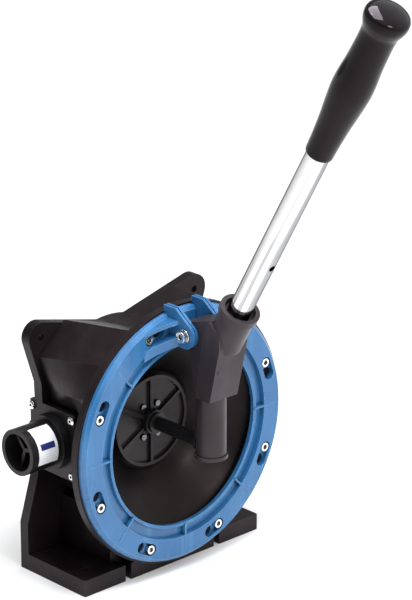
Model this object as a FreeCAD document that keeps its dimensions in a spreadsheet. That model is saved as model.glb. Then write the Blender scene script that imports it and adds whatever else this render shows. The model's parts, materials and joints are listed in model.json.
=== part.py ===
import FreeCAD, Part
import math
import os
import re

import Sketcher

# Hand-operated diaphragm bilge pump, in millimetres.
# +Z is up, the clamping ring faces -Y, and the inlet is on -X.
# The origin is the centre of the base's underside.

SIZES = {
    # base and back plate
    "base_half_width": 101.5, "base_half_depth": 42.0, "base_thick": 15.0,
    "notch_place": 52.0, "notch_width": 6.5, "notch_depth": 12.0,
    "post_knee": 43.0, "plate_thick": 10.0, "upper_plate_back": 35.0,
    "waist_half": 89.0, "waist_low": 85.0, "waist_high": 172.0, "valley_height": 205.0,
    "ear_place": 88.0, "ear_height": 213.5, "ear_radius": 13.5, "ear_hole": 3.25,
    "deck_hole": 3.5, "deck_hole_x": 86.0, "deck_hole_y": 24.0,
    # pump chamber, around an axis along Y
    "ring_height": 125.5, "drum_radius": 82.0, "drum_front": -12.0, "drum_back": 41.0,
    "flange_radius": 117.0, "flange_front": -52.0, "flange_back": -45.0, "skirt_radius": 112.0,
    "chamber_radius": 77.0, "chamber_back": 33.0, "mouth_radius": 95.6, "mouth_back": -42.0,
    "bead_radius": 98.0, "bead_back": -49.0,
    # clamping ring
    "ring_face": -58.0, "ring_radius": 115.2, "face_outer": 111.5, "face_inner": 94.0,
    "groove_floor": -53.5, "lip_front": -57.0, "lip_radius": 82.0, "lip_width": 3.2,
    "lip_rear_radius": 88.0, "lip_outer": 92.0, "lip_back": -47.0, "face_line": 0.3,
    "screw_circle": 103.6, "first_screw": 22.5, "slot_turn": 6.6, "slot_width": 10.6, "slot_depth": 4.0,
    "screw_radius": 2.5, "head_radius": 4.0, "head_rise": 3.7, "insert_radius": 3.4,
    # pivot ears of the ring, and the fulcrum
    "pivot_y": -77.0, "pivot_z": 225.0, "ear_inner": 13.0, "ear_outer": 18.5, "lug_radius": 11.3,
    "lug_top": 246.5, "lug_flat": 11.0, "ramp_end": 46.0, "ramp_front": -70.0,
    "bolt_radius": 3.0, "washer_radius": 6.25, "washer_thick": 1.2, "bolt_head": 5.2,
    "bush_radius": 5.0, "running_gap": 0.05,
    # ports, around axes along X
    "port_y": 14.0, "port_z": 123.0, "port_seat": 80.0, "gasket_thick": 1.0, "port_face": 87.0,
    "port_half_y": 28.5, "port_half_z": 30.5, "port_screw_place": 25.4, "port_screw_radius": 1.9,
    "root_radius": 24.5, "root_end": 95.0, "tail_radius": 20.5, "tail_end": 126.0, "tail_bore": 16.5,
    "web_front": 118.0, "web_thick": 3.0, "web_turn": 77.0, "port_bore": 15.5, "inner_flat": 75.0,
    "recess_front": -19.5, "recess_top": 154.0, "recess_slope_end": 97.0, "recess_slope_top": 179.0,
    # flap valves
    "seat_radius": 17.8, "seat_hole": 10.5, "seat_thick": 2.5, "flap_radius": 12.6, "flap_thick": 2.2,
    "flap_gap": 0.3, "flap_pivot": 12.5, "flap_pin": 1.0, "flap_barrel": 1.9,
    # diaphragm and its centre
    "sheet_thick": 3.0, "sheet_front": -9.0, "clamp_radius": 41.0, "clamp_thick": 4.0,
    "plate_screw_place": 16.0, "rod_radius": 6.0, "tongue_half": 4.0, "tongue_radius": 7.0,
    "link_pin": 3.0, "link_half": 9.0,
    # rocker
    "post_y": -90.0, "post_radius": 13.0, "post_foot": 115.4, "hub_half": 12.7, "hub_radius": 11.5,
    "pad_half": 16.0, "socket_radius": 15.5, "collar_radius": 17.4, "collar_thick": 6.0,
    "cup_radius": 13.6, "cup_depth": 5.0, "socket_depth": 44.0, "socket_wall_end": 40.0,
    # handle; lean is measured from the vertical, towards -Y
    "lean": 29.7, "collar_y": -124.9, "collar_z": 257.4,
    "tube_radius": 10.0, "tube_bore": 8.5, "tube_top": 313.0, "cross_hole": 3.1, "cross_hole_place": 57.0,
    "grip_low": 177.0, "grip_top": 327.0,
}

doc = FreeCAD.newDocument("bilge_pump")
sheet = doc.addObject("Spreadsheet::Sheet", "Sizes")
for row, (alias, value) in enumerate(SIZES.items(), start=1):
    sheet.set(f"A{row}", alias)
    sheet.set(f"B{row}", str(value))
    sheet.setAlias(f"B{row}", alias)
doc.recompute()

SIDES = {"inlet": -1, "outlet": 1}
TURNED = {
    "X": FreeCAD.Rotation(FreeCAD.Vector(0, 1, 0), 90),
    "Y": FreeCAD.Rotation(FreeCAD.Vector(1, 0, 0), -90),
    "Z": FreeCAD.Rotation(),
}


# ---------- helpers ----------

def cells(text):
    """An expression whose size names point at the spreadsheet."""
    known = lambda match: f"Sizes.{match[0]}" if match[0] in SIZES else match[0]
    return re.sub(r"[a-z_]+", known, str(text))


def number(text):
    """The present value of an expression."""
    value = sheet.evalExpression(cells(text))
    return float(getattr(value, "Value", value))


def bind(item, name, text):
    item.setExpression(name, cells(text))


def place(item, at, turn=FreeCAD.Rotation()):
    item.Placement = FreeCAD.Placement(FreeCAD.Vector(), turn)
    for axis, text in zip("xyz", at):
        bind(item, f"Placement.Base.{axis}", text)
    return item


def block(low, high):
    """A box between two corners."""
    box = doc.addObject("Part::Box", "block")
    for name, start, end in zip(("Length", "Width", "Height"), low, high):
        bind(box, name, f"({end}) - ({start})")
    return place(box, low)


def rod(axis, at, radius, length):
    """A cylinder from the point at, along +axis."""
    cylinder = doc.addObject("Part::Cylinder", "rod")
    bind(cylinder, "Radius", radius)
    bind(cylinder, "Height", length)
    return place(cylinder, at, TURNED[axis])


def cone(axis, at, first, last, length):
    taper = doc.addObject("Part::Cone", "cone")
    bind(taper, "Radius1", first)
    bind(taper, "Radius2", last)
    bind(taper, "Height", length)
    return place(taper, at, TURNED[axis])


def hexagon(axis, at, across, length):
    column = doc.addObject("Part::Prism", "hexagon")
    column.Polygon = 6
    bind(column, "Circumradius", f"({across}) / 2 / cos(30)")
    bind(column, "Height", length)
    return place(column, at, TURNED[axis])


def fuse(*pieces):
    if len(pieces) == 1:
        return pieces[0]
    union = doc.addObject("Part::MultiFuse", "fuse")
    union.Shapes = list(pieces)
    return union


def cut(base, *tools):
    result = doc.addObject("Part::Cut", "cut")
    result.Base = base
    result.Tool = fuse(*tools)
    return result


def common(*pieces):
    result = doc.addObject("Part::MultiCommon", "common")
    result.Shapes = list(pieces)
    return result


def group(pieces):
    """Separate solids that share one node."""
    bundle = doc.addObject("Part::Compound", "group")
    bundle.Links = list(pieces)
    return bundle


def round_about_ring(pieces, angle):
    """Turn pieces about the ring's axis, clockwise as seen from the front."""
    radians = math.radians(angle)
    turn = FreeCAD.Rotation(FreeCAD.Vector(0, 1, 0), angle)
    height = number("ring_height")
    pivot = FreeCAD.Vector(-height * math.sin(radians), 0, height * (1 - math.cos(radians)))
    holder = fuse(*pieces) if len(pieces) > 1 else group(pieces)
    holder.Placement = FreeCAD.Placement(pivot, turn)
    return holder


def origin_feature(body, role):
    return next(item for item in body.Origin.OriginFeatures if item.Role == role)


def sketch_in(body, plane, offset):
    sketch = body.newObject("Sketcher::SketchObject", "outline")
    sketch.AttachmentSupport = [(origin_feature(body, f"{plane}_Plane"), "")]
    sketch.MapMode = "FlatFace"
    bind(sketch, ".AttachmentOffset.Base.z", offset)
    return sketch


def fix_point(sketch, geometry, position, point):
    for kind, text in zip(("DistanceX", "DistanceY"), point):
        index = sketch.addConstraint(Sketcher.Constraint(kind, -1, 1, geometry, position, number(text)))
        name = f"{kind}_{geometry}"
        sketch.renameConstraint(index, name)
        bind(sketch, f".Constraints.{name}", text)


def polygon(body, plane, points, offset=0):
    """A closed sketch of straight lines through points, each a pair of expressions."""
    sketch = sketch_in(body, plane, offset)
    corners = [FreeCAD.Vector(number(x), number(y), 0) for x, y in points]
    count = len(corners)
    for index in range(count):
        sketch.addGeometry(Part.LineSegment(corners[index], corners[(index + 1) % count]), False)
    for index in range(count):
        sketch.addConstraint(Sketcher.Constraint("Coincident", index, 2, (index + 1) % count, 1))
    for index, point in enumerate(points):
        fix_point(sketch, index, 1, point)
    return sketch


def circle(body, plane, centre, radius, offset=0):
    sketch = sketch_in(body, plane, offset)
    middle = FreeCAD.Vector(number(centre[0]), number(centre[1]), 0)
    sketch.addGeometry(Part.Circle(middle, FreeCAD.Vector(0, 0, 1), number(radius)), False)
    fix_point(sketch, 0, 3, centre)
    index = sketch.addConstraint(Sketcher.Constraint("Radius", 0, number(radius)))
    sketch.renameConstraint(index, "radius")
    bind(sketch, ".Constraints.radius", radius)
    return sketch


def new_body(name):
    return doc.addObject("PartDesign::Body", name)


def extrude(body, kind, sketch, length, symmetric=False):
    """A Pad or a Pocket of a sketch."""
    feature = body.newObject(f"PartDesign::{kind}", kind.lower())
    feature.Profile = sketch
    if symmetric:
        feature.SideType = "Symmetric"
    bind(feature, "Length", length)
    return feature


def revolve(body, points, axis):
    """A solid of revolution of an outline in the YZ plane."""
    feature = body.newObject("PartDesign::Revolution", "turned")
    feature.Profile = polygon(body, "YZ", points)
    feature.ReferenceAxis = (origin_feature(body, f"{axis}_Axis"), [""])
    feature.Angle = 360
    return feature


def pattern_about_y(body, originals, count):
    pattern = body.newObject("PartDesign::PolarPattern", "pattern")
    pattern.Originals = originals
    pattern.Axis = (origin_feature(body, "Y_Axis"), [""])
    pattern.Angle = 360
    pattern.Occurrences = count
    body.Tip = pattern
    return pattern


def prism(plane, points, start, length):
    """A padded polygon; start and length run along the plane's normal."""
    body = new_body("prism")
    extrude(body, "Pad", polygon(body, plane, points, start), length)
    return body


def mirrored(points):
    """An outline's right half followed by its left half, going back."""
    left = [(f"-({x})", z) for x, z in reversed(points) if str(x) != "0"]
    return points + left


def side_rod(side, start, end, at_y, at_z, radius):
    """A cylinder along X between two distances from the middle, on one side."""
    low = start if side > 0 else f"-({end})"
    return rod("X", (low, at_y, at_z), radius, f"({end}) - ({start})")


def side_block(side, low, high):
    """A box whose X range is given as distances from the middle."""
    if side > 0:
        return block(low, high)
    return block((f"-({high[0]})", low[1], low[2]), (f"-({low[0]})", high[1], high[2]))


NODES = []


def node(item, label):
    item.Label = label
    NODES.append(item)


# ---------- pump body ----------

def back_plate():
    """Two stacked plates: one that stands on the base, and one with the horn ears above it."""
    lower = mirrored([("base_half_width", "0"), ("base_half_width", "post_knee"),
                      ("waist_half", "waist_low"), ("waist_half", "ring_height")])
    upper = mirrored([("waist_half - 3", "waist_low + 12"), ("waist_half", "waist_high"),
                      ("ear_place + 0.94 * ear_radius", "ear_height - 0.34 * ear_radius"),
                      ("ear_place - 0.23 * ear_radius", "ear_height + 0.97 * ear_radius"),
                      ("0", "valley_height")])
    plates = [prism("XZ", lower, "-base_half_depth", "plate_thick"),
              prism("XZ", upper, "-upper_plate_back", "plate_thick")]
    for sign in ("", "-"):
        ear_at = (f"{sign}ear_place", "upper_plate_back - plate_thick", "ear_height")
        plates.append(rod("Y", ear_at, "ear_radius", "plate_thick"))
    return plates


def hood():
    """The sloped web from the back plate's shoulders to the round flange."""
    body = new_body("hood")

    def on_flange(angle):
        return (f"(flange_radius - 3) * sin({angle})", f"ring_height + (flange_radius - 3) * cos({angle})")

    back = mirrored([("drum_radius - 12", "ring_height"), ("waist_half - 7", "recess_top + 13"),
                     ("ear_place + 4", "ear_height - 16.5"), ("ear_place - 26", "ear_height + 9.5"),
                     ("0", "valley_height - 1")])
    front = mirrored([("drum_radius - 8", "ring_height"), on_flange(62), on_flange(45), on_flange(25),
                      ("0", "valley_height + 7")])
    loft = body.newObject("PartDesign::AdditiveLoft", "loft")
    loft.Profile = polygon(body, "XZ", back, "-(upper_plate_back - plate_thick + 1)")
    loft.Sections = [polygon(body, "XZ", front, "-(flange_back - 1)")]
    loft.Ruled = True
    return body


def drum():
    middle = ("0", "drum_front", "ring_height")
    return [
        rod("Y", middle, "drum_radius", "drum_back - drum_front"),
        cone("Y", ("0", "flange_back", "ring_height"), "skirt_radius", "drum_radius",
             "drum_front - flange_back"),
        rod("Y", ("0", "flange_front", "ring_height"), "flange_radius", "flange_back - flange_front"),
        block(("-62", "-30", "base_thick - 1"), ("62", "base_half_depth - 5", "60")),
    ]


def port_housings():
    return [side_block(side, ("60", "port_y - port_half_y", "port_z - port_half_z"),
                       ("port_seat", "drum_back", "port_z + port_half_z")) for side in SIDES.values()]


def port_recesses():
    """Flat seats for the ports, under a sloping face that runs up into the hood."""
    tools = []
    for side, sign in zip(SIDES.values(), ("-", "")):
        tools.append(side_block(side, ("port_seat", "recess_front", "port_z - port_half_z - 0.5"),
                                ("port_seat + 60", "base_half_depth + 20", "recess_top")))
        outside = f"{sign}(port_seat + 60)"
        slope = [(f"{sign}port_seat", "recess_top - 1"), (f"{sign}port_seat", "recess_top"),
                 (f"{sign}recess_slope_end", "recess_slope_top"), (outside, "recess_slope_top"),
                 (outside, "recess_top - 1")]
        length = "upper_plate_back - plate_thick - 1 - recess_front"
        tools.append(prism("XZ", slope, "1 + plate_thick - upper_plate_back", length))
    return tools


def chamber():
    """The hollow behind the diaphragm, with its stepped mouth."""
    hollow = new_body("hollow")
    revolve(hollow, [
        ("flange_front - 1", "0"), ("flange_front - 1", "bead_radius + 0.3"),
        ("bead_back", "bead_radius + 0.3"), ("bead_back", "mouth_radius"), ("mouth_back", "mouth_radius"),
        ("drum_front", "chamber_radius"), ("chamber_back", "chamber_radius"), ("chamber_back", "0")], "Y")
    tools = [place(hollow, ("0", "0", "ring_height"))]
    for side in SIDES.values():
        tools.append(side_block(side, ("60", "port_y - 19", "port_z - 21"),
                                ("inner_flat", "chamber_back - 0.5", "port_z + 21")))
        tools.append(side_rod(side, "inner_flat - 4", "port_seat + 1", "port_y", "port_z", "port_bore"))
    return tools


def screw_places():
    """Angles of the ring screws, clockwise from the top."""
    return [number("first_screw") + 45 * index for index in range(8)]


def body_holes():
    holes = []
    for sign in ("", "-"):
        holes.append(rod("Y", (f"{sign}ear_place", "0", "ear_height"), "ear_hole", "60"))
        for other in ("", "-"):
            holes.append(rod("Z", (f"{sign}deck_hole_x", f"{other}deck_hole_y", "-1"),
                             "deck_hole", "base_thick + 2"))
        low = (f"{sign}notch_place - notch_width / 2", "-base_half_depth - 1", "-1")
        high = (f"{sign}notch_place + notch_width / 2", "notch_depth - base_half_depth", "base_thick + 1")
        holes.append(block(low, high))
    for side in SIDES.values():
        for y, z in port_screw_places():
            holes.append(side_rod(side, "port_seat - 5", "port_seat + 1", y, z, "port_screw_radius"))
    for angle in screw_places():
        hole = rod("Y", ("0", "flange_front - 1", "ring_height + screw_circle"), "insert_radius", "11")
        holes.append(round_about_ring([hole], angle))
    return holes


def port_screw_places():
    return [(f"port_y {first} port_screw_place", f"port_z {last} port_screw_place")
            for first in "+-" for last in "+-"]


base = block(("-base_half_width", "-base_half_depth", "0"),
             ("base_half_width", "base_half_depth", "base_thick"))
solid = fuse(base, *back_plate(), hood(), *drum(), *port_housings())
node(cut(cut(solid, *port_recesses()), *chamber(), *body_holes()), "pump_body")


# ---------- clamping ring ----------

def ring_blank():
    """The turned ring with its keyhole slots and groove ribs, about its own centre."""
    body = new_body("ring_blank")
    revolve(body, [
        ("lip_back", "lip_rear_radius"), ("lip_front + 3.5", "lip_radius"), ("lip_front", "lip_radius"),
        ("lip_front", "lip_radius + lip_width - 0.7"), ("groove_floor", "lip_radius + lip_width"),
        ("groove_floor", "face_inner - 0.6"), ("ring_face", "face_inner"), ("ring_face", "face_outer"),
        ("ring_face + 3", "ring_radius - 0.6"), ("flange_front", "ring_radius"),
        ("flange_front", "lip_outer"), ("lip_back", "lip_outer")], "Y")

    def polar(radius, angle):
        return (f"({radius}) * sin({angle})", f"({radius}) * cos({angle})")

    near, far = "first_screw", "first_screw + slot_turn"
    inner, outer = "screw_circle - slot_width / 2", "screw_circle + slot_width / 2"
    slot = [polar(inner, near), polar(outer, near), polar(outer, far), polar(inner, far)]
    front, through = "-ring_face", "flange_front - ring_face + 1"
    pockets = [
        extrude(body, "Pocket", polygon(body, "XZ", slot, front), "slot_depth"),
        extrude(body, "Pocket", circle(body, "XZ", polar("screw_circle", near), "slot_width / 2", front),
                "slot_depth"),
        extrude(body, "Pocket", circle(body, "XZ", polar("screw_circle", far), "slot_width / 2", front),
                through),
        extrude(body, "Pocket", circle(body, "XZ", polar("screw_circle", near), "screw_radius", front),
                through),
    ]
    pattern_about_y(body, pockets, 8)
    rib = [("-0.8", "lip_radius + 1"), ("0.8", "lip_radius + 1"), ("0.8", "face_outer - 4"),
           ("-0.8", "face_outer - 4")]
    rib_pad = extrude(body, "Pad", polygon(body, "XZ", rib, "-groove_floor"),
                      "groove_floor - ring_face + face_line")
    pattern_about_y(body, [rib_pad], 8)
    return place(body, ("0", "0", "ring_height"))


def pivot_ear(side):
    """One ear: a grooved plate with a rounded end around the fulcrum bolt."""
    outline = [("flange_front", "lug_top"), ("pivot_y + lug_flat", "lug_top"),
               ("pivot_y - 7.8", "pivot_z + 8.2"), ("pivot_y", "pivot_z"),
               ("pivot_y", "pivot_z - lug_radius"), ("flange_front", "pivot_z - lug_radius")]
    step = "(ear_outer - ear_inner) / 5"
    pieces = []
    for first, last, shrink in ((0, 2, 0), (2, 3, 1.2), (3, 5, 0)):
        start, end = f"ear_inner + {first} * {step}", f"ear_inner + {last} * {step}"
        low = start if side > 0 else f"-({end})"
        inset = [(f"{y} + {shrink}" if y != "flange_front" else y, f"{z} - {shrink if z == 'lug_top' else 0}")
                 for y, z in outline]
        pieces.append(prism("YZ", inset, low, f"({end}) - ({start})"))
        pieces.append(side_rod(side, start, end, "pivot_y", "pivot_z", f"lug_radius - {shrink}"))
    return pieces


def ramp_walls(side):
    """Two curved walls that rise from the ring's face to an ear."""
    sign = "" if side > 0 else "-"
    wedge = [(f"{sign}(ear_outer - 1)", "ring_face + 1"), (f"{sign}ramp_end", "ring_face + 1"),
             (f"{sign}ramp_end", "ring_face"), (f"{sign}(ear_outer - 1)", "ramp_front")]
    walls = new_body("walls")
    revolve(walls, [("ramp_front", "screw_circle + 5.6"), ("ramp_front", "face_outer + 1"),
                    ("ring_face + 1", "face_outer + 1"), ("ring_face + 1", "screw_circle + 5.6")], "Y")
    inner = new_body("walls")
    revolve(inner, [("ramp_front", "face_inner - 3.4"), ("ramp_front", "screw_circle - 5.4"),
                    ("ring_face + 2", "screw_circle - 5.4"), ("ring_face + 2", "face_inner - 3.4")], "Y")
    both = fuse(walls, inner)
    place(both, ("0", "0", "ring_height"))
    return common(both, prism("XY", wedge, "ring_height + 60", "70"))


ring_pieces = [ring_blank()]
for side in SIDES.values():
    ring_pieces += pivot_ear(side) + [ramp_walls(side)]
pin_hole = rod("X", ("-30", "pivot_y", "pivot_z"), "bolt_radius", "60")
node(cut(fuse(*ring_pieces), pin_hole), "clamping_ring")


# ---------- ring screws and inserts ----------

def ring_screw():
    seat = "ring_face + slot_depth"
    top = "ring_height + screw_circle"
    head = rod("Y", ("0", f"{seat} - head_rise", top), "head_radius", "head_rise")
    shank = rod("Y", ("0", seat, top), "screw_radius", "11")
    socket = hexagon("Y", ("0", f"{seat} - head_rise - 1", top), "4", "3.4")
    return cut(fuse(head, shank), socket)


def insert():
    top = "ring_height + screw_circle"
    outer = rod("Y", ("0", "flange_front", top), "insert_radius", "10")
    return cut(outer, rod("Y", ("0", "flange_front - 1", top), "screw_radius", "12"))


node(group([round_about_ring([ring_screw()], angle) for angle in screw_places()]), "ring_screws")
node(group([round_about_ring([insert()], angle) for angle in screw_places()]), "ring_inserts")


# ---------- ports ----------

def port(side):
    """A square flange with a stepped hose tail and a three-armed web near its mouth."""
    seat = "port_seat + gasket_thick"
    plate = side_block(side, (seat, "port_y - port_half_y", "port_z - port_half_z"),
                       ("port_face", "port_y + port_half_y", "port_z + port_half_z"))
    root = side_rod(side, "port_face - 1", "root_end", "port_y", "port_z", "root_radius")
    tail = side_rod(side, "root_end - 1", "tail_end", "port_y", "port_z", "tail_radius")
    bore = side_rod(side, f"{seat} - 1", "tail_end + 1", "port_y", "port_z", "tail_bore")
    recess = side_rod(side, f"{seat} - 1", f"{seat} + seat_thick", "port_y", "port_z", "seat_radius")
    holes = [side_rod(side, f"{seat} - 1", "port_face + 1", y, z, "port_screw_radius")
             for y, z in port_screw_places()]
    arms = []
    for angle in (number("web_turn") + turn for turn in (0, 120, 240)):
        arm = block(("0", "-1.6", "0"), ("web_thick", "1.6", "tail_bore + 1"))
        start = "web_front - web_thick" if side > 0 else "-web_front"
        arms.append(place(arm, (start, f"port_y - 1.6 * cos({angle})", f"port_z - 1.6 * sin({angle})"),
                          FreeCAD.Rotation(FreeCAD.Vector(1, 0, 0), angle)))
    return fuse(cut(fuse(plate, root, tail), bore, recess, *holes), *arms)


def port_screws(side):
    screws = []
    for y, z in port_screw_places():
        head = side_rod(side, "port_face", "port_face + 1.4", y, z, "3.7")
        if side > 0:
            dome = cone("X", ("port_face + 1.4", y, z), "3.7", "2.4", "1")
        else:
            dome = cone("X", ("-(port_face + 2.4)", y, z), "2.4", "3.7", "1")
        shank = side_rod(side, "port_seat - 5", "port_face + 0.5", y, z, "port_screw_radius")
        socket_low = "port_face + 1" if side > 0 else "-(port_face + 3)"
        socket = hexagon("X", (socket_low, y, z), "2.5", "2")
        screws.append(cut(fuse(head, dome, shank), socket))
    return group(screws)


def gasket(side):
    sheet_low = ("port_seat", "port_y - port_half_y", "port_z - port_half_z")
    sheet_high = ("port_seat + gasket_thick", "port_y + port_half_y", "port_z + port_half_z")
    holes = [side_rod(side, "port_seat - 1", "port_seat + 3", y, z, "port_screw_radius")
             for y, z in port_screw_places()]
    bore = side_rod(side, "port_seat - 1", "port_seat + 3", "port_y", "port_z", "port_bore + 1")
    return cut(side_block(side, sheet_low, sheet_high), bore, *holes)


# ---------- flap valves; both open towards +X ----------

def valve(start):
    """Seat, flap and hinge pin of one valve whose seat's back is at X = start."""
    hinge_x = f"{start} + seat_thick + 0.9"
    hinge_z = "port_z + flap_pivot"
    seat_face = f"{start} + seat_thick"
    seat = cut(rod("X", (start, "port_y", "port_z"), "seat_radius", "seat_thick"),
               rod("X", (f"{start} - 1", "port_y", "port_z"), "seat_hole", "seat_thick + 2"))
    lugs = [block((f"{seat_face} - 1", f"port_y + {low}", f"{hinge_z} - 2"),
                  (f"{seat_face} + 2.6", f"port_y + {high}", f"{hinge_z} + 1.6"))
            for low, high in ((-7.5, -5), (5, 7.5))]
    pin_space = rod("Y", (hinge_x, "port_y - 9", hinge_z), "flap_pin", "18")
    barrel_space = rod("Y", (hinge_x, "port_y - 4.9", hinge_z), "flap_barrel + 0.25", "9.8")
    seat_node = cut(fuse(seat, *lugs), pin_space, barrel_space)
    disc = rod("X", (f"{seat_face} + flap_gap", "port_y", "port_z"), "flap_radius", "flap_thick")
    relief = [block((f"{seat_face} - 1", f"port_y + {low}", f"{hinge_z} - 4.2"),
                    (f"{seat_face} + 6", f"port_y + {high}", f"{hinge_z} + 4"))
              for low, high in ((-9, -4.7), (4.7, 9))]
    barrel = rod("Y", (f"{hinge_x} + 0.8", "port_y - 4.7", hinge_z), "flap_barrel", "9.4")
    bore = rod("Y", (hinge_x, "port_y - 9", hinge_z), "flap_pin + running_gap", "18")
    front_cut = block((f"{seat_face} - 3", "port_y - 9", f"{hinge_z} - 4"),
                      (f"{seat_face} + flap_gap", "port_y + 9", f"{hinge_z} + 4"))
    clamp = rod("Y", (hinge_x, "port_y - 4.7", hinge_z), "flap_barrel", "9.4")
    flap_node = cut(fuse(disc, barrel, clamp), front_cut, bore, *relief)
    pin_node = rod("Y", (hinge_x, "port_y - 7.5", hinge_z), "flap_pin", "15")
    return seat_node, flap_node, pin_node


VALVE_STARTS = {"inlet": "-inner_flat", "outlet": "port_seat + gasket_thick"}
for name, side in SIDES.items():
    node(port(side), f"{name}_port")
    node(port_screws(side), f"{name}_port_screws")
    node(gasket(side), f"{name}_gasket")
    for kind, item in zip(("seat", "flap", "flap_pin"), valve(VALVE_STARTS[name])):
        node(item, f"{name}_{kind}")


# ---------- diaphragm ----------

def diaphragm():
    """A rubber dish with a bead under the ring and a flat centre between the clamp plates."""
    body = new_body("dish")
    revolve(body, [
        ("flange_front", "lip_outer + 0.3"), ("flange_front", "bead_radius"),
        ("bead_back - 0.2", "bead_radius"), ("bead_back - 0.2", "lip_outer + 3.2"),
        ("mouth_back - 1", "lip_outer + 3.2"), ("sheet_front + sheet_thick", "clamp_radius + 3"),
        ("sheet_front + sheet_thick", "rod_radius + 0.5"), ("sheet_front", "rod_radius + 0.5"),
        ("sheet_front", "clamp_radius + 1"), ("mouth_back - 3.5", "lip_outer + 0.3")], "Y")
    place(body, ("0", "0", "ring_height"))
    return cut(body, *plate_screw_rods("1.8", "sheet_front - 1", "5"))


def outer_plate():
    """Ribbed disc in front of the diaphragm, with a raised rim and hub."""
    face = "sheet_front - clamp_thick"
    middle = "ring_height"
    disc = rod("Y", ("0", face, middle), "clamp_radius", "clamp_thick")
    hub = rod("Y", ("0", f"{face} - 8", middle), "11", "9")
    rim = cut(rod("Y", ("0", f"{face} - 3", middle), "clamp_radius", "4"),
              rod("Y", ("0", f"{face} - 4", middle), "clamp_radius - 3", "6"))
    ribs = [round_about_ring([block(("-1.5", f"{face} - 3", f"{middle} + 9"),
                                    ("1.5", f"{face} + 1", f"{middle} + clamp_radius - 2"))], angle)
            for angle in range(0, 360, 60)]
    bore = rod("Y", ("0", f"{face} - 9", middle), "rod_radius", "20")
    return cut(fuse(disc, hub, rim, *ribs), bore, *plate_screw_rods("1.8", f"{face} - 1", "12"))


def plate_screw_rods(radius, start, length):
    top = ("0", start, "ring_height + plate_screw_place")
    return [round_about_ring([rod("Y", top, radius, length)], angle) for angle in (30, 150, 210, 330)]


def inner_plate():
    back = "sheet_front + sheet_thick"
    disc = rod("Y", ("0", back, "ring_height"), "clamp_radius", "clamp_thick")
    bore = rod("Y", ("0", f"{back} - 1", "ring_height"), "rod_radius", "8")
    return cut(disc, bore, *plate_screw_rods("1.8", f"{back} - 1", "5"))


def plate_screws():
    face = "sheet_front - clamp_thick"
    heads = plate_screw_rods("3", f"{face} - 2.2", "2.2")
    shanks = plate_screw_rods("1.8", face, "11")
    return group([fuse(head, shank) for head, shank in zip(heads, shanks)])


def connecting_rod():
    """A round rod along Y that flattens into a tongue around the cross pin."""
    shaft = rod("Y", ("0", "post_y + 14", "ring_height"), "rod_radius", "-post_y - 12")
    tongue = block(("-tongue_half", "post_y", "ring_height - tongue_radius"),
                   ("tongue_half", "post_y + 18", "ring_height + tongue_radius"))
    nose = rod("X", ("-tongue_half", "post_y", "ring_height"), "tongue_radius", "2 * tongue_half")
    stop = rod("Y", ("0", "sheet_front - clamp_thick - 11", "ring_height"), "9", "3")
    eye = rod("X", ("-10", "post_y", "ring_height"), "link_pin", "20")
    return cut(fuse(shaft, tongue, nose, stop), eye)


def rod_nut():
    start = "sheet_front + sheet_thick + clamp_thick"
    return cut(hexagon("Y", ("0", start, "ring_height"), "18", "4.5"),
               rod("Y", ("0", f"{start} - 1", "ring_height"), "rod_radius", "8"))


node(diaphragm(), "diaphragm")
node(outer_plate(), "outer_clamp_plate")
node(inner_plate(), "inner_clamp_plate")
node(plate_screws(), "clamp_plate_screws")
node(connecting_rod(), "connecting_rod")
node(rod_nut(), "rod_nut")
node(rod("X", ("-link_half", "post_y", "ring_height"), "link_pin", "2 * link_half"), "cross_pin")


# ---------- rocker ----------

def along_handle(distance):
    """A point on the handle's axis, measured up from the collar's top."""
    return ("0", f"collar_y - ({distance}) * sin(lean)", f"collar_z + ({distance}) * cos(lean)")


def leaning_rod(start, end, radius):
    cylinder = doc.addObject("Part::Cylinder", "leaning_rod")
    bind(cylinder, "Radius", radius)
    bind(cylinder, "Height", f"({end}) - ({start})")
    place(cylinder, along_handle(start), FreeCAD.Rotation(FreeCAD.Vector(1, 0, 0), 1))
    bind(cylinder, "Placement.Rotation.Angle", "lean")
    return cylinder


def rocker():
    """Handle socket, arm, fulcrum hub and the round post that drives the diaphragm."""
    pad = [("post_y - 15", "172"), ("post_y + 2", "172"), ("post_y - 6", "228"),
           ("post_y - 14", "244"), ("post_y - 26", "236"), ("post_y - 26.5", "222")]
    web = [("post_y + 6", "174"), ("pivot_y", "pivot_z - hub_radius"), ("pivot_y", "pivot_z + hub_radius"),
           ("post_y - 20", "246"), ("post_y - 22", "200"), ("post_y - 10", "176")]
    arm = prism("YZ", pad, "-pad_half", "2 * pad_half")
    core = prism("YZ", web, "-hub_half", "2 * hub_half")
    hub = rod("X", ("-hub_half", "pivot_y", "pivot_z"), "hub_radius", "2 * hub_half")
    post = rod("Z", ("0", "post_y", "post_foot"), "post_radius", "178 - post_foot")
    foot = rod("Z", ("0", "post_y", "post_foot"), "post_radius + 1.3", "3")
    socket = leaning_rod("-socket_wall_end", "0", "socket_radius")
    collar = leaning_rod("-collar_thick", "0", "collar_radius")
    tools = [
        leaning_rod("-socket_depth", "1", "tube_radius + running_gap"),
        leaning_rod("-cup_depth", "1", "cup_radius"),
        rod("X", ("-30", "pivot_y", "pivot_z"), "bush_radius", "60"),
        block(("-tongue_half - 0.8", "post_y - 8.5", "post_foot - 1"),
              ("tongue_half + 0.8", "post_y + 20", "ring_height + 13")),
        block(("-link_half - 0.4", "post_y - link_pin - 1", "post_foot - 1"),
              ("link_half + 0.4", "post_y + link_pin + 1", "ring_height + link_pin + 1.5")),
    ]
    return cut(fuse(arm, core, hub, post, foot, socket, collar), *tools)


def bushes():
    pieces = []
    for side in SIDES.values():
        outer = side_rod(side, "4", "hub_half", "pivot_y", "pivot_z", "bush_radius")
        inner = side_rod(side, "3", "hub_half + 1", "pivot_y", "pivot_z", "bolt_radius + running_gap")
        pieces.append(cut(outer, inner))
    return group(pieces)


node(rocker(), "rocker")
node(bushes(), "fulcrum_bushes")


# ---------- fulcrum ----------

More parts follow.
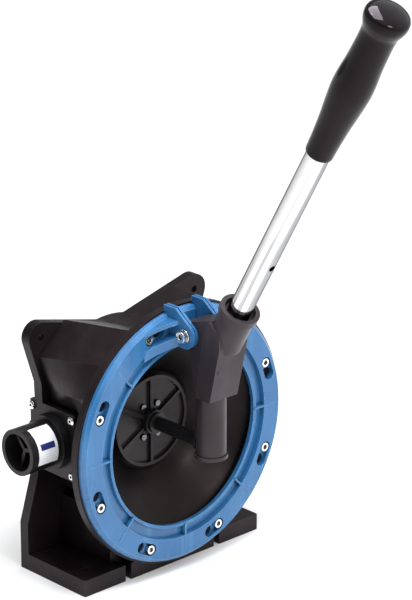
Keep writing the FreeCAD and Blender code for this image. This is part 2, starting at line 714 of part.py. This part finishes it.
def fulcrum_bolt():
    head_end = "-(ear_outer + washer_thick + 4)"
    head = rod("X", (head_end, "pivot_y", "pivot_z"), "bolt_head", "4")
    shank = rod("X", ("-(ear_outer + washer_thick)", "pivot_y", "pivot_z"), "bolt_radius",
                "2 * ear_outer + 2 * washer_thick + 5.5")
    socket = hexagon("X", (f"{head_end} - 1", "pivot_y", "pivot_z"), "4", "3.5")
    return cut(fuse(head, shank), socket)


def washers():
    pieces = []
    for side in SIDES.values():
        outer = side_rod(side, "ear_outer", "ear_outer + washer_thick", "pivot_y", "pivot_z", "washer_radius")
        hole = side_rod(side, "ear_outer - 1", "ear_outer + 3", "pivot_y", "pivot_z", "bolt_radius")
        pieces.append(cut(outer, hole))
    return group(pieces)


def fulcrum_nut():
    start = "ear_outer + washer_thick"
    return cut(hexagon("X", (start, "pivot_y", "pivot_z"), "10", "5"),
               rod("X", (f"{start} - 1", "pivot_y", "pivot_z"), "bolt_radius", "8"))


node(fulcrum_bolt(), "fulcrum_bolt")
node(washers(), "fulcrum_washers")
node(fulcrum_nut(), "fulcrum_nut")


# ---------- handle ----------

def handle_tube():
    top = FreeCAD.Rotation(FreeCAD.Vector(1, 0, 0), number("lean") + 90)
    hole = doc.addObject("Part::Cylinder", "cross_hole")
    bind(hole, "Radius", "cross_hole")
    bind(hole, "Height", "30")
    y, z = "cross_hole_place * sin(lean)", "cross_hole_place * cos(lean)"
    place(hole, ("0", f"collar_y - {y} + 15 * cos(lean)", f"collar_z + {z} + 15 * sin(lean)"), top)
    return cut(leaning_rod("-socket_depth", "tube_top", "tube_radius"),
               leaning_rod("-socket_depth - 1", "tube_top + 1", "tube_bore"), hole)


def handle_grip():
    """A moulded grip: slim at its lower end, swelling to the palm, with a round knob."""
    body = new_body("grip")
    low = "grip_low"
    revolve(body, [
        ("tube_radius", low), ("12", low), ("12.7", f"{low} + 20"), ("15.4", f"{low} + 51"),
        ("16.7", f"{low} + 68"), ("16.4", f"{low} + 80"), ("14.8", f"{low} + 108"),
        ("14.8", f"{low} + 122"), ("15.5", f"{low} + 128"), ("18.4", f"{low} + 137"),
        ("18.7", "grip_top - 9.5"), ("16.3", "grip_top - 4"), ("11.8", "grip_top - 1.4"),
        ("0", "grip_top"), ("0", "tube_top"), ("tube_radius", "tube_top")], "Z")
    place(body, along_handle("0"), FreeCAD.Rotation(FreeCAD.Vector(1, 0, 0), 1))
    bind(body, "Placement.Rotation.Angle", "lean")
    return body


node(handle_tube(), "handle_tube")
node(handle_grip(), "handle_grip")
node(leaning_rod("-socket_depth", "8 - socket_depth", "tube_bore"), "tube_plug")


# ---------- check and write ----------

doc.recompute()
for item in doc.Objects:
    if {"Invalid", "Error"} & set(item.State):
        raise RuntimeError(f"{item.Name} ({item.Label}) failed: {item.State}")
for item in NODES:
    if item.Shape.isNull() or not item.Shape.isValid() or item.Shape.Volume <= 0:
        raise RuntimeError(f"{item.Label} has no valid solid")
os.makedirs("parts", exist_ok=True)
for item in NODES:
    item.Shape.exportStep(f"parts/{item.Label}.step")
    print(f"{item.Label}: {len(item.Shape.Solids)} solid(s), {item.Shape.Volume / 1000:.1f} cm3")
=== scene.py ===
import json
import math

import bmesh
import bpy
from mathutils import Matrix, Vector


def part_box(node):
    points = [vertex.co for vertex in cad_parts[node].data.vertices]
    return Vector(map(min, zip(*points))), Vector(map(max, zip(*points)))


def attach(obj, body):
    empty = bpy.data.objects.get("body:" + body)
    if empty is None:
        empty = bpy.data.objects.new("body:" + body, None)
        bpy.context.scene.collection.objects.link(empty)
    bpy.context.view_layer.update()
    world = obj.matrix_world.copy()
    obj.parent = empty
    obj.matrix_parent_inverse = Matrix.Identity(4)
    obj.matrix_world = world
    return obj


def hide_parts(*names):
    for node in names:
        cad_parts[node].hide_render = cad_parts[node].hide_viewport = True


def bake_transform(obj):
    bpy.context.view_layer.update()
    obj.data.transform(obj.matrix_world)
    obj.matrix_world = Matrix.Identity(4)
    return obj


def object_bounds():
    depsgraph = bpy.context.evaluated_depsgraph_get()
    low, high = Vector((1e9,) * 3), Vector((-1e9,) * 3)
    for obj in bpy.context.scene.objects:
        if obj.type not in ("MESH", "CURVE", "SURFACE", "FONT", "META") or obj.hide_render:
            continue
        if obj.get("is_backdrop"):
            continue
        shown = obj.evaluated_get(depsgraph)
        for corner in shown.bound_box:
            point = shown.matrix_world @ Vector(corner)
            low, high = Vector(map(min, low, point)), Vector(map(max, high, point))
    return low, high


# Looks of a hand-operated diaphragm bilge pump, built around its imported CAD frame.
# Lengths are in metres; a number times MM is in millimetres.
# The clamping ring faces -Y, the handle leans towards -Y and the inlet is on -X.

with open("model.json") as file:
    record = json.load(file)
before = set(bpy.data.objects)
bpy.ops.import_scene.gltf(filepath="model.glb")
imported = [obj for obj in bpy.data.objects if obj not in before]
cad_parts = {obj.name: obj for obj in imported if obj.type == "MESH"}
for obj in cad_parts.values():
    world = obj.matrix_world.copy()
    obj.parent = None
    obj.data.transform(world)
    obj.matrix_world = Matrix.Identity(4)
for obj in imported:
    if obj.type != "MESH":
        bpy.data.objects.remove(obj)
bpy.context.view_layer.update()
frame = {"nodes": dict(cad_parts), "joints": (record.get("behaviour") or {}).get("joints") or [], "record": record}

MM = 0.001
STREAK_HEIGHT = 2e-6    # relief of the tube's drawing lines
LEATHER_GRAIN = 12e-6   # relief of moulded rubber
PAPER_GRAIN = 6e-6      # relief of coated paper
EDGE_WIDTH = 0.7 * MM   # how far wear reaches in from an edge
SHADE_REACH = 4 * MM        # how near a neighbour has to be for the painted shade to darken a corner
CREASE = math.radians(32)   # faces that meet at more than this keep a crisp edge


# ---------- places, all worked out from the frame ----------

def middle(node):
    """The middle of a CAD node's box."""
    low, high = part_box(node)
    return (low + high) / 2


def half_width(node):
    """Half a CAD node's size along X, which is the outer radius of a round piece."""
    low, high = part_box(node)
    return (high.x - low.x) / 2


joints = {joint["name"]: joint for joint in frame["joints"]}
HANDLE_AXIS = Vector(joints["handle_pull"]["axis"]).normalized()
TUBE_MIDDLE = middle("handle_tube")
RING_HEIGHT = middle("diaphragm").z


# ---------- node helpers ----------

class Nodes:
    """A material under construction: its node tree and its main shader."""

    def __init__(self, name):
        self.material = bpy.data.materials.new(name)
        self.material.use_nodes = True
        self.tree = self.material.node_tree
        self.shader = self.tree.nodes["Principled BSDF"]
        self.place = self.tree.nodes.new("ShaderNodeTexCoord").outputs["Object"]
        self.height = None

    def add(self, kind, **values):
        """A shader node; each value sets an input or, failing that, a property."""
        node = self.tree.nodes.new(f"ShaderNode{kind}")
        for name, value in values.items():
            if name in node.inputs:
                node.inputs[name].default_value = value
            else:
                setattr(node, name, value)
        return node

    def link(self, start, end):
        self.tree.links.new(start, end)

    def stretched(self, length, axis=Vector((0, 0, 1))):
        """The place, with textures drawn out along an axis to length times their size."""
        mapping = self.add("Mapping", vector_type="TEXTURE")
        mapping.inputs["Scale"].default_value = (1, 1, length)
        mapping.inputs["Rotation"].default_value = Vector((0, 0, 1)).rotation_difference(axis).to_euler()
        self.link(self.place, mapping.inputs["Vector"])
        return mapping.outputs["Vector"]

    def noise(self, scale, detail=3.0, rough=0.55, vector=None):
        noise = self.add("TexNoise", Scale=scale, Detail=detail, Roughness=rough)
        self.link(vector or self.place, noise.inputs["Vector"])
        return noise.outputs["Fac"]

    def ranged(self, value, low, high, start=0.3, end=0.7):
        """value mapped from start..end to low..high."""
        node = self.add("MapRange")
        for name, number in zip(("From Min", "From Max", "To Min", "To Max"), (start, end, low, high)):
            node.inputs[name].default_value = number
        self.link(value, node.inputs["Value"])
        return node.outputs["Result"]

    def mixed(self, factor, first, second):
        """A colour mix; each colour is a tuple or a socket."""
        node = self.add("Mix", data_type="RGBA")
        self.link(factor, node.inputs[0])
        colour_sockets = node.inputs[6:8]
        for socket, colour in zip(colour_sockets, (first, second)):
            if isinstance(colour, tuple):
                socket.default_value = (*colour, 1)
            else:
                self.link(colour, socket)
        return node.outputs[2]

    def bump(self, height, distance, strength=1.0):
        """Adds a layer of relief, distance metres high."""
        node = self.add("Bump", Strength=strength, Distance=distance)
        self.link(height, node.inputs["Height"])
        if self.height:
            self.link(self.height, node.inputs["Normal"])
        self.height = node.outputs["Normal"]
        self.link(self.height, self.shader.inputs["Normal"])

    def edges(self, width):
        """1 along the edges of a piece, 0 on its flats."""
        rounded = self.add("Bevel", samples=4, Radius=width)
        facing = self.add("VectorMath", operation="DOT_PRODUCT")
        self.link(rounded.outputs["Normal"], facing.inputs[0])
        self.link(self.add("NewGeometry").outputs["Normal"], facing.inputs[1])
        return self.ranged(facing.outputs["Value"], 1, 0, 0.90, 0.995)

    def painted_crevice_shade(self, distance):
        """Painted shade: 1 deep in holes, slots and corners, 0 in the open."""
        hidden = self.add("AmbientOcclusion", samples=8, Distance=distance)
        return self.ranged(hidden.outputs["AO"], 1, 0, 0.30, 0.80)

    def set(self, **values):
        """Sets inputs of the main shader; an underscore stands for a space."""
        for name, value in values.items():
            self.shader.inputs[name.replace("_", " ")].default_value = value


def moulded_plastic(name, dark, light, edge, roughness, grain_height, gloss, tint=(1.0, 1.0, 1.0)):
    """Moulded plastic: slow tone variation, scuffed patches, paler edges, painted shade in holes and corners, and
    a fine grain.
    """
    m = Nodes(name)
    tone = m.ranged(m.noise(18, 5), 0, 1, 0.35, 0.65)
    colour = m.mixed(tone, dark, light)
    flow = m.noise(60, 3, vector=m.stretched(7))
    colour = m.mixed(m.ranged(flow, 0, 0.25, 0.5, 0.8), colour, edge)
    worn = m.add("Math", operation="MULTIPLY")
    m.link(m.edges(EDGE_WIDTH), worn.inputs[0])
    m.link(m.ranged(m.noise(70, 4), 0.25, 1), worn.inputs[1])
    colour = m.mixed(worn.outputs[0], colour, edge)
    # painted shade: holes, slots and corners darkened towards a third of the dark tone
    colour = m.mixed(m.painted_crevice_shade(SHADE_REACH), colour, tuple(part * 0.3 for part in dark))
    m.link(colour, m.shader.inputs["Base Color"])
    scuffs = m.ranged(m.noise(45, 6, 0.7), roughness[0], roughness[1], 0.35, 0.68)
    m.link(scuffs, m.shader.inputs["Roughness"])
    m.bump(m.noise(1500, 2), grain_height)
    m.bump(m.noise(90, 2), grain_height * 3, 0.5)
    m.set(Specular_IOR_Level=gloss, Specular_Tint=(*tint, 1.0))
    return m.material


def polished_metal(name, colour, roughness, streak_axis=None, edge=(1.0, 1.0, 1.0)):
    """Polished metal with fine drawing lines, slight smears and painted shade in holes and corners. Along a streak
    axis it gets painted dark reflection bands; a dark edge tint paints dark reflections at its outline.
    """
    m = Nodes(name)
    m.set(Metallic=1.0, Specular_Tint=(*edge, 1.0))
    smear = m.noise(35, 4)
    dull = tuple(part * 0.86 for part in colour)
    shade = m.mixed(m.ranged(smear, 0, 1), colour, dull)
    if streak_axis:
        lines = m.noise(1800, 3, vector=m.stretched(80, streak_axis))
        m.bump(lines, STREAK_HEIGHT)
        # painted reflection: dark bands along the streak axis stand in for dark surroundings mirrored in the
        # polished metal
        painted_reflection_bands = m.noise(190, 3, vector=m.stretched(60, streak_axis))
        shade = m.mixed(m.ranged(painted_reflection_bands, 0, 1, 0.46, 0.62), shade, tuple(part * 0.45 for part in colour))
    # painted shade: holes, slots and corners darkened almost to black
    shade = m.mixed(m.painted_crevice_shade(SHADE_REACH), shade, tuple(part * 0.08 for part in colour))
    m.link(shade, m.shader.inputs["Base Color"])
    rough = m.ranged(m.noise(120, 5), roughness[0], roughness[1])
    m.link(rough, m.shader.inputs["Roughness"])
    return m.material


def rubber(name, dark, light, roughness):
    """Moulded rubber: matt bloom in patches and a soft leathery grain."""
    m = Nodes(name)
    bloom = m.ranged(m.noise(28, 6, 0.65), 0, 1, 0.42, 0.72)
    m.link(m.mixed(bloom, dark, light), m.shader.inputs["Base Color"])
    m.link(m.ranged(m.noise(70, 4), roughness[0], roughness[1]), m.shader.inputs["Roughness"])
    m.bump(m.noise(800, 3), LEATHER_GRAIN)
    m.set(Specular_IOR_Level=0.16, Specular_Tint=(1.0, 0.82, 0.82, 1.0))
    return m.material


def printed_label(name, colour, fleck):
    """Coated paper: faint fibre flecks and a slight gloss."""
    m = Nodes(name)
    m.link(m.mixed(m.ranged(m.noise(600, 3), 0, 1), colour, fleck), m.shader.inputs["Base Color"])
    m.link(m.ranged(m.noise(150, 3), 0.3, 0.5), m.shader.inputs["Roughness"])
    m.bump(m.noise(900, 2), PAPER_GRAIN)
    return m.material


WARM = (1.0, 0.84, 0.86)
MATERIALS = {
    "black_nylon": moulded_plastic("black_nylon", (0.0045, 0.0032, 0.0036), (0.011, 0.0075, 0.0085),
                                   (0.032, 0.025, 0.028), (0.28, 0.46), 10e-6, 0.20, WARM),
    "rocker_black": moulded_plastic("rocker_black", (0.018, 0.0145, 0.0165), (0.028, 0.022, 0.025),
                                    (0.055, 0.047, 0.052), (0.34, 0.50), 12e-6, 0.32, WARM),
    "port_black": moulded_plastic("port_black", (0.0045, 0.0042, 0.0044), (0.009, 0.008, 0.0085),
                                  (0.03, 0.028, 0.03), (0.26, 0.42), 8e-6, 0.28, WARM),
    "blue_plastic": moulded_plastic("blue_plastic", (0.018, 0.098, 0.235), (0.024, 0.118, 0.275),
                                    (0.11, 0.34, 0.60), (0.16, 0.30), 5e-6, 0.50),
    "grip_black": moulded_plastic("grip_black", (0.002, 0.0018, 0.0022), (0.004, 0.0036, 0.0042),
                                  (0.012, 0.012, 0.015), (0.05, 0.10), 2e-6, 0.17, (1.0, 0.80, 0.82)),
    "dark_steel": moulded_plastic("dark_steel", (0.006, 0.006, 0.007), (0.010, 0.009, 0.010),
                                  (0.05, 0.05, 0.05), (0.30, 0.45), 6e-6, 0.30),
    "stainless": polished_metal("stainless", (0.86, 0.86, 0.85), (0.08, 0.20)),
    "screw_steel": polished_metal("screw_steel", (0.14, 0.14, 0.15), (0.12, 0.22)),
    # painted reflection: the tube's dark bands and dark edge tint stand in for dark surroundings mirrored along it
    # and at its outline
    "polished_tube": polished_metal("polished_tube", (0.84, 0.83, 0.83), (0.06, 0.13), HANDLE_AXIS,
                                    edge=(0.10, 0.10, 0.11)),
    "brass": polished_metal("brass", (0.72, 0.53, 0.22), (0.22, 0.36)),
    "black_rubber": rubber("black_rubber", (0.0022, 0.0017, 0.0018), (0.006, 0.0044, 0.0046),
                           (0.34, 0.46)),
    "valve_rubber": rubber("valve_rubber", (0.012, 0.011, 0.011), (0.025, 0.023, 0.023), (0.45, 0.62)),
    "label_white": printed_label("label_white", (0.80, 0.81, 0.82), (0.72, 0.72, 0.71)),
    "label_blue": printed_label("label_blue", (0.012, 0.018, 0.10), (0.02, 0.025, 0.13)),
}

# nodes given another material than the rest of their slot: darker steel for the clamp plate screws, the ports'
# black for the outer clamp plate
LOOKS = {"clamp_plate_screws": "screw_steel", "outer_clamp_plate": "port_black"}


def dress(obj, slot):
    """Gives an object one material in place of any it has."""
    obj.data.materials.clear()
    obj.data.materials.append(MATERIALS[slot])


# ---------- mesh helpers ----------

def new_object(name, mesh):
    obj = bpy.data.objects.new(name, mesh)
    bpy.context.scene.collection.objects.link(obj)
    return obj


def shade_smooth(mesh):
    """Smooth shading that stops at creases."""
    mesh.polygons.foreach_set("use_smooth", [True] * len(mesh.polygons))
    mesh.set_sharp_from_angle(angle=CREASE)
    mesh.update()


def applied(obj):
    """Bakes an object's modifiers into its mesh."""
    bpy.context.view_layer.update()
    evaluated = obj.evaluated_get(bpy.context.evaluated_depsgraph_get())
    mesh = bpy.data.meshes.new_from_object(evaluated)
    obj.modifiers.clear()
    obj.data = mesh
    return obj


def softened(node, width):
    """A copy of a CAD node whose edges are rounded, as a mould leaves them."""
    weld = 2e-6                 # points nearer than this become one
    flat = math.radians(0.8)    # faces that meet at less than this become one
    sharp = math.radians(30)    # edges that turn more than this are rounded
    mesh = frame["nodes"][node].data.copy()
    mesh.name = f"{node}_moulded"
    bm = bmesh.new()
    bm.from_mesh(mesh)
    bmesh.ops.remove_doubles(bm, verts=bm.verts, dist=weld)
    bmesh.ops.dissolve_limit(bm, angle_limit=flat, verts=bm.verts, edges=bm.edges)
    bm.to_mesh(mesh)
    bm.free()
    obj = new_object(f"{node}_moulded", mesh)
    bevel = obj.modifiers.new("edge", "BEVEL")
    bevel.width = width
    bevel.segments = 2
    bevel.limit_method = "ANGLE"
    bevel.angle_limit = sharp
    bevel.use_clamp_overlap = True
    bevel.miter_outer = "MITER_ARC"
    mesh.polygons.foreach_set("use_smooth", [True] * len(mesh.polygons))
    flats = obj.modifiers.new("flats", "WEIGHTED_NORMAL")
    flats.weight = 100
    return applied(obj)


def stands_for(obj, node, slot):
    """A piece that replaces one CAD node, on that node's body and with its finish."""
    dress(obj, LOOKS.get(node, slot))
    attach(obj, body_of(node))
    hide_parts(node)
    return obj


def body_of(node):
    """The moving body that a CAD node belongs to."""
    groups = frame["record"]["behaviour"]["bodies"]
    return next(body for body, members in groups.items() if node in members)


def slot_of(node):
    """The material slot that the record gives a CAD node."""
    return next(part["material_slot"] for part in frame["record"]["subparts"] if part["node"] == node)


def smooth_line(points, steps):
    """A Catmull-Rom curve through points."""
    padded = [points[0], *points, points[-1]]
    line = []
    for a, b, c, d in zip(padded, padded[1:], padded[2:], padded[3:]):
        for index in range(steps):
            t = index / steps
            line.append(tuple(
                0.5 * (2 * q + (r - p) * t + (2 * p - 5 * q + 4 * r - s) * t ** 2
                       + (3 * q - p - 3 * r + s) * t ** 3)
                for p, q, r, s in zip(a, b, c, d)))
    return line + [tuple(points[-1])]


def lathe(name, outline, origin, axis, sides=128, closed=False):
    """Turns (distance along axis, radius) pairs about an axis; a closed outline joins its ends."""
    turn = Vector((0, 0, 1)).rotation_difference(axis)
    bm = bmesh.new()
    rings = []
    for distance, radius in outline:
        if radius < 1e-7:
            rings.append([bm.verts.new(origin + turn @ Vector((0, 0, distance)))] * sides)
            continue
        ring = []
        for index in range(sides):
            angle = 2 * math.pi * index / sides
            spot = Vector((radius * math.cos(angle), radius * math.sin(angle), distance))
            ring.append(bm.verts.new(origin + turn @ spot))
        rings.append(ring)
    pairs = list(zip(rings, rings[1:])) + ([(rings[-1], rings[0])] if closed else [])
    for first, second in pairs:
        for index in range(sides):
            after = (index + 1) % sides
            corners = [first[index], first[after], second[after], second[index]]
            bm.faces.new(list(dict.fromkeys(corners)))
    bmesh.ops.recalc_face_normals(bm, faces=bm.faces)
    mesh = bpy.data.meshes.new(name)
    bm.to_mesh(mesh)
    bm.free()
    shade_smooth(mesh)
    return new_object(name, mesh)


# ---------- handle ----------

def handle_grip():
    """Moulded grip: slim rolled lip, long palm swell, neck and round knob."""
    centre = middle("handle_grip")
    places = [(corner.co - centre).dot(HANDLE_AXIS)
              for corner in frame["nodes"]["handle_grip"].data.vertices]
    start, end = min(places), max(places)
    length = end - start
    axis_point = TUBE_MIDDLE + HANDLE_AXIS * (centre - TUBE_MIDDLE).dot(HANDLE_AXIS)
    # share of the length, radius in millimetres
    rows = [(0.0, 10.1), (0.0, 11.0), (0.004, 11.6), (0.02, 11.9), (0.06, 12.1), (0.135, 12.7),
            (0.23, 13.7), (0.34, 15.4), (0.45, 16.7), (0.535, 16.4), (0.63, 15.3), (0.72, 14.8),
            (0.80, 14.7), (0.852, 15.3), (0.885, 17.0), (0.912, 18.3), (0.936, 18.7), (0.957, 18.2),
            (0.974, 16.3), (0.990, 11.8), (0.998, 5.6), (1.0, 0.0)]
    outline = smooth_line([(start + share * length, radius * MM) for share, radius in rows], 6)
    outline = [(place, max(radius, 0.0)) for place, radius in outline]
    return stands_for(lathe("grip", outline, axis_point, HANDLE_AXIS), "handle_grip", "grip_black")


# ---------- diaphragm ----------

def diaphragm():
    """The rubber dish: a bead under the ring, a rolled shoulder, a long cone and a stepped centre."""
    sheet = 3.0 * MM
    rod_hole = 6.6 * MM
    bead = 2.8 * MM
    low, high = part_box("diaphragm")
    front, back = low.y, high.y
    outer = half_width("diaphragm")
    shoulder = outer - 5.7 * MM
    rim = half_width("outer_clamp_plate") + 1.0 * MM
    face = [
        (front, shoulder), (front + 6.0 * MM, shoulder), (front + 7.2 * MM, shoulder - 1.6 * MM),
        (front + 9.5 * MM, shoulder - 5.5 * MM), (front + 17 * MM, shoulder - 16 * MM),
        (front + 29 * MM, shoulder - 34 * MM), (back - 6.0 * MM, rim + 4.5 * MM),
        (back - 3.6 * MM, rim + 1.5 * MM), (back - sheet, rim - 3.0 * MM), (back - sheet, 20 * MM),
    ]
    rear = [(place + sheet * 0.9, max(radius + sheet * 0.45, rod_hole))
            for place, radius in reversed(face[2:-1])]
    outline = smooth_line(face, 5) + [(back - sheet, rod_hole), (back, rod_hole)]
    outline += smooth_line(rear, 5)
    outline += [(front + bead, shoulder + sheet * 0.9), (front + bead, outer), (front, outer)]
    centre = Vector((0, 0, RING_HEIGHT))
    dish = lathe("diaphragm_dish", outline, centre, Vector((0, 1, 0)), 160, closed=True)
    dress(dish, "black_rubber")
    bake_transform(dish)
    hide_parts("diaphragm")


# ---------- label on the inlet tail ----------

PAPER_THICKNESS = 0.12 * MM


def wrapped_patch(name, slot, node, x_range, angles, lift):
    """A thin patch around a hose tail; angles run from the front (-Y) upwards."""
    centre = middle(node)
    radius = tail_radius() + lift
    columns, rows = 12, 36
    bm = bmesh.new()
    grid = []
    for column in range(columns + 1):
        x = x_range[0] + (x_range[1] - x_range[0]) * column / columns
        line = []
        for row in range(rows + 1):
            angle = math.radians(angles[0] + (angles[1] - angles[0]) * row / rows)
            forward, up = radius * math.cos(angle), radius * math.sin(angle)
            line.append(bm.verts.new((x, centre.y - forward, centre.z + up)))
        grid.append(line)
    for first, second in zip(grid, grid[1:]):
        for row in range(rows):
            bm.faces.new((first[row], second[row], second[row + 1], first[row + 1]))
    bmesh.ops.recalc_face_normals(bm, faces=bm.faces)
    mesh = bpy.data.meshes.new(name)
    bm.to_mesh(mesh)
    bm.free()
    patch = new_object(name, mesh)
    thick = patch.modifiers.new("paper", "SOLIDIFY")
    thick.thickness = PAPER_THICKNESS
    thick.offset = 1.0
    applied(patch)
    shade_smooth(patch.data)
    dress(patch, slot)
    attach(patch, body_of(node))
    return patch


def tail_radius():
    """The radius of the hose tail on the inlet."""
    mount = next(item for item in frame["record"]["mounts"] if item["name"] == "inlet_hose_tail")
    return mount["dims"]["r_mm"] * MM


def inlet_label():
    """A paper label on the hose tail, with one plain printed bar and no text."""
    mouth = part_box("inlet_port")[0].x
    wrapped_patch("label", "label_white", "inlet_port",
                  (mouth + 7 * MM, mouth + 28 * MM), (-25, 75), 0.05 * MM)
    wrapped_patch("label_bar", "label_blue", "inlet_port",
                  (mouth + 10 * MM, mouth + 25 * MM), (13, 28), 0.18 * MM)


# ---------- carry-over of the CAD nodes ----------

# width of each rounded edge, in millimetres
SOFTENED = {
    "pump_body": 1.0, "clamping_ring": 0.7, "rocker": 1.2, "inlet_port": 0.6, "outlet_port": 0.6,
    "outer_clamp_plate": 0.6, "inner_clamp_plate": 0.6, "connecting_rod": 0.5,
    "clamp_plate_screws": 1.4, "inlet_port_screws": 0.25, "outlet_port_screws": 0.25,
    "ring_screws": 0.35, "fulcrum_bolt": 0.4, "fulcrum_washers": 0.2, "fulcrum_nut": 0.3,
}
REMADE = ("handle_grip", "diaphragm")   # shaped by functions of their own


def carried_over():
    """Every other CAD node, with rounded edges or as it is."""
    for node, obj in frame["nodes"].items():
        if node in REMADE:
            continue
        if node in SOFTENED:
            stands_for(softened(node, SOFTENED[node] * MM), node, slot_of(node))
        else:
            dress(obj, slot_of(node))


# ---------- studio ----------

def camera():
    """The product shot's view: from the front left, a little above."""
    azimuth, elevation, distance = math.radians(-43.31), math.radians(20.18), 2.5
    target = Vector((24.2, -58.0, 241.3)) * MM
    away = Vector((math.sin(azimuth) * math.cos(elevation), -math.cos(azimuth) * math.cos(elevation),
                   math.sin(elevation)))
    data = bpy.data.cameras.new("camera")
    data.lens = 177.9
    data.sensor_width = 36
    data.clip_end = 20
    obj = new_object("camera", data)
    obj.location = target + away * distance
    obj.rotation_euler = away.to_track_quat("Z", "Y").to_euler()
    bpy.context.scene.camera = obj


def softbox(name, place, size, power, aim=Vector((0, 0, 0.2)), colour=(1, 1, 1)):
    """A rectangular lamp that faces aim."""
    data = bpy.data.lights.new(name, "AREA")
    data.shape = "RECTANGLE"
    data.size, data.size_y = size
    data.energy = power
    data.color = colour
    light = new_object(name, data)
    light.location = place
    light.rotation_euler = (Vector(place) - aim).to_track_quat("Z", "Y").to_euler()


def daylight(direction, strength, softness):
    """A broad, distant source that lights object and floor evenly."""
    data = bpy.data.lights.new("daylight", "SUN")
    data.energy = strength
    data.angle = math.radians(softness)
    light = new_object("daylight", data)
    light.rotation_euler = Vector(direction).to_track_quat("Z", "Y").to_euler()


def studio():
    """A pale floor under even daylight, with two soft windows and a lamp above the knob."""
    floor_radius, floor_height = 14.0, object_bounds()[0][2]
    ambient = 0.25
    floor = lathe("floor", [(0.0, 0.0), (0.0, floor_radius)], Vector((0, 0, floor_height)),
                  Vector((0, 0, 1)), 96)
    paper = Nodes("floor_paper")
    paper.link(paper.mixed(paper.ranged(paper.noise(3, 2), 0, 1), (0.93, 0.93, 0.93), (0.96, 0.96, 0.96)),
               paper.shader.inputs["Base Color"])
    paper.set(Roughness=0.8)
    floor.data.materials.append(paper.material)
    floor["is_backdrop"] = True
    world = bpy.data.worlds.new("studio")
    world.use_nodes = True
    background = world.node_tree.nodes["Background"]
    background.inputs["Color"].default_value = (1, 1, 1, 1)
    background.inputs["Strength"].default_value = ambient
    bpy.context.scene.world = world
    daylight((0.62, -0.75, 1.25), 3.0, 130)
    softbox("left_window", (-0.62, 0.26, 2.0), (0.50, 0.62), 9)
    knob_offset, lamp_distance = 66 * MM, 0.28
    knob = middle("handle_grip") + HANDLE_AXIS * knob_offset
    softbox("knob_lamp", knob + Vector((-0.20, 0.16, 0.95)) * lamp_distance, (0.32, 0.26), 5.2,
            aim=knob, colour=(0.84, 0.90, 1.0))
    softbox("front_window", (-0.30, -1.75, 1.2), (0.45, 0.45), 12)
    bpy.context.scene.view_settings.view_transform = "Standard"


camera()
carried_over()
handle_grip()
diaphragm()
inlet_label()
studio()
